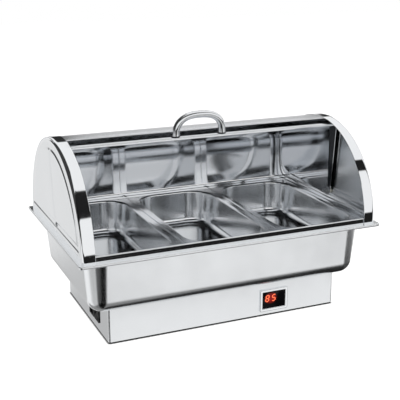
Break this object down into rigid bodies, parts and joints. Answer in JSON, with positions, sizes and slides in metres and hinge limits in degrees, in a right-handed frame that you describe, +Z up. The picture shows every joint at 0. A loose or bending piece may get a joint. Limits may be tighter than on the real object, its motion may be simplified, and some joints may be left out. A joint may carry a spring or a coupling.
{
  "type": "roll top chafing dish",
  "caption": "Electric roll top chafing dish: heater base with display, water pan, lift-out insert pans, and a domed cover whose curved lid rolls back under it",
  "frame": {"origin": "on the table, under the middle of the heater base", "axes": "+X to the right, +Y to the back, +Z up; the open front faces -Y"},
  "size_m": [0.554, 0.353, 0.3659],
  "materials": {
    "satin_steel": "satin polished stainless sheet",
    "mirror_steel": "mirror polished stainless",
    "bright_steel": "bright stainless",
    "zinc_plate": "zinc plated steel",
    "cast_plate": "cast, matt",
    "black_plastic": "moulded, matt",
    "black_rubber": "matt",
    "pale_nylon": "moulded",
    "smoked_window": "gloss",
    "red_segments": "lit",
    "circuit_board": "lacquered",
    "brass": "plain"
  },
  "bodies": {
    "base": {"base_housing": "satin_steel", "bottom_plate": "zinc_plate", "heater_plate": "cast_plate", "heating_element": "bright_steel", "heater_bridge_left": "zinc_plate", "heater_bridge_right": "zinc_plate", "temperature_probe": "bright_steel", "display_bezel": "mirror_steel", "display_window": "smoked_window", "display_digit_1": "red_segments", "display_digit_2": "red_segments", "control_board": "circuit_board", "board_relay": "black_plastic", "board_transformer": "cast_plate", "terminal_block": "pale_nylon", "switch_body": "black_plastic", "power_inlet": "black_plastic", "bottom_screw_1": "zinc_plate", "bottom_screw_2": "zinc_plate", "bottom_screw_3": "zinc_plate", "bottom_screw_4": "zinc_plate", "foot_1": "black_rubber", "foot_2": "black_rubber", "foot_3": "black_rubber", "foot_4": "black_rubber", "board_standoff_1": "pale_nylon", "board_standoff_2": "pale_nylon", "board_standoff_3": "pale_nylon", "board_standoff_4": "pale_nylon", "inlet_blade_1": "brass", "inlet_blade_2": "brass", "inlet_blade_3": "brass"},
    "rocker": {"switch_rocker": "black_plastic"},
    "water_pan_body": {"water_pan": "satin_steel"},
    "left_insert": {"insert_pan_left": "bright_steel"},
    "centre_insert": {"insert_pan_centre": "bright_steel"},
    "right_insert": {"insert_pan_right": "bright_steel"},
    "cover": {"end_cap_left": "satin_steel", "end_cap_right": "satin_steel", "cover_frame": "mirror_steel", "front_strip": "mirror_steel", "back_cover": "mirror_steel", "stop_pad_left": "black_rubber", "stop_pad_right": "black_rubber", "pivot_pin_left": "zinc_plate", "pivot_pin_right": "zinc_plate", "pivot_washer_left": "pale_nylon", "pivot_washer_right": "pale_nylon", "pivot_nut_left": "zinc_plate", "pivot_nut_right": "zinc_plate"},
    "lid": {"lid_shell": "mirror_steel", "lid_side_left": "bright_steel", "lid_side_right": "bright_steel", "lid_front_bar": "mirror_steel", "lid_handle": "mirror_steel", "handle_screw_1": "zinc_plate", "handle_screw_2": "zinc_plate"}
  },
  "joints": [
    {"name": "rocker_tip", "type": "hinge", "parent": "base", "child": "rocker", "pos_m": [-0.2155, -0.0585, 0.032], "axis": [0, 1, 0], "range_deg": [-14, 0]},
    {"name": "water_pan_lift", "type": "slide", "parent": "base", "child": "water_pan_body", "axis": [0, 0, 1], "range_m": [0, 0.04]},
    {"name": "left_insert_lift", "type": "slide", "parent": "water_pan_body", "child": "left_insert", "axis": [0, 0, 1], "range_m": [0, 0.005]},
    {"name": "centre_insert_lift", "type": "slide", "parent": "water_pan_body", "child": "centre_insert", "axis": [0, 0, 1], "range_m": [0, 0.005]},
    {"name": "right_insert_lift", "type": "slide", "parent": "water_pan_body", "child": "right_insert", "axis": [0, 0, 1], "range_m": [0, 0.005]},
    {"name": "cover_lift", "type": "slide", "parent": "water_pan_body", "child": "cover", "axis": [0, 0, 1], "range_m": [0, 0.06]},
    {"name": "lid_roll", "type": "hinge", "parent": "cover", "child": "lid", "pos_m": [0, -0.015, 0.1851], "axis": [1, 0, 0], "range_deg": [0, 84.5]}
  ]
}
